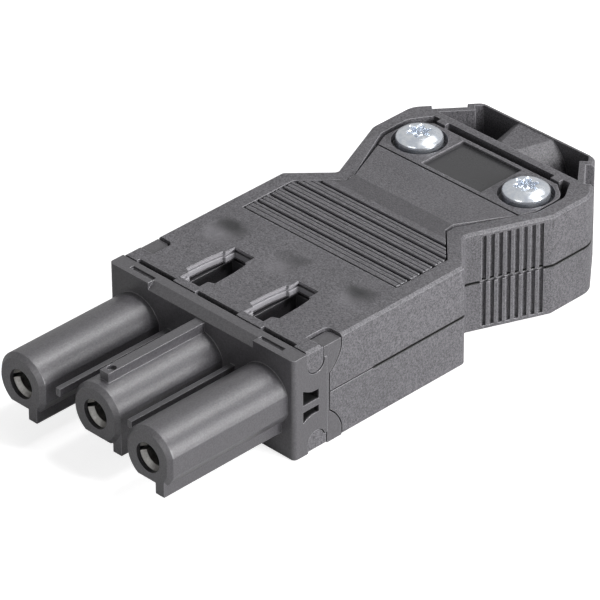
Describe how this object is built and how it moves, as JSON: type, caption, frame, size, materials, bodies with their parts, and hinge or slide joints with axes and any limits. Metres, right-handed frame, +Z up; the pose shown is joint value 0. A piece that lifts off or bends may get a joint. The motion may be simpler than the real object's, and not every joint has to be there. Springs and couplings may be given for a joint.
{
  "type": "female installation connector",
  "caption": "Flat cable connector, socket side: round barrels on a flange, a waisted housing with finger grooves, and a ribbed strain-relief plate held by screws.",
  "frame": {"origin": "middle of the outline on the flat underside", "axes": "+Y towards the cable end, +X to the right with the screws on top, +Z up out of the screwed side"},
  "size_m": [0.0288, 0.0712, 0.0141],
  "materials": {
    "housing_plastic": "fine spark-eroded texture",
    "insert_plastic": "smooth, slightly satin",
    "contact_metal": "silver plated",
    "spring_steel": "bare spring steel",
    "block_metal": "nickel plated",
    "screw_zinc": "bright zinc plating"
  },
  "bodies": {
    "housing": {"contact_carrier": "insert_plastic", "upper_shell": "housing_plastic", "lower_shell": "housing_plastic", "socket_contact_1": "contact_metal", "socket_contact_2": "contact_metal", "socket_contact_3": "contact_metal", "contact_spring_1": "spring_steel", "contact_spring_2": "spring_steel", "contact_spring_3": "spring_steel", "clamping_block_1": "block_metal", "clamping_block_2": "block_metal", "clamping_block_3": "block_metal"},
    "clamp": {"clamp_plate": "housing_plastic"},
    "clamp_screw_left": {"clamp_screw_left": "screw_zinc"},
    "clamp_screw_right": {"clamp_screw_right": "screw_zinc"},
    "terminal_screw_1": {"terminal_screw_1": "screw_zinc"},
    "terminal_screw_2": {"terminal_screw_2": "screw_zinc"},
    "terminal_screw_3": {"terminal_screw_3": "screw_zinc"}
  },
  "joints": [
    {"name": "clamp_tip", "type": "hinge", "parent": "housing", "child": "clamp", "pos_m": [0, -0.00085, 0.0109], "axis": [-1, 0, 0], "range_deg": [0, 4]},
    {"name": "clamp_screw_left_travel", "type": "slide", "parent": "housing", "child": "clamp_screw_left", "axis": [0, 0, -1], "range_m": [0, 0.0016]},
    {"name": "clamp_screw_right_travel", "type": "slide", "parent": "housing", "child": "clamp_screw_right", "axis": [0, 0, -1], "range_m": [0, 0.0016]},
    {"name": "terminal_screw_1_travel", "type": "slide", "parent": "housing", "child": "terminal_screw_1", "axis": [0, 0, -1], "range_m": [0, 0.0023]},
    {"name": "terminal_screw_2_travel", "type": "slide", "parent": "housing", "child": "terminal_screw_2", "axis": [0, 0, -1], "range_m": [0, 0.0023]},
    {"name": "terminal_screw_3_travel", "type": "slide", "parent": "housing", "child": "terminal_screw_3", "axis": [0, 0, -1], "range_m": [0, 0.0023]}
  ],
  "couplings": [
    {"joint": "clamp_screw_left_travel", "follows": "clamp_tip", "m_per_rad": 0.022},
    {"joint": "clamp_screw_right_travel", "follows": "clamp_tip", "m_per_rad": 0.022}
  ]
}
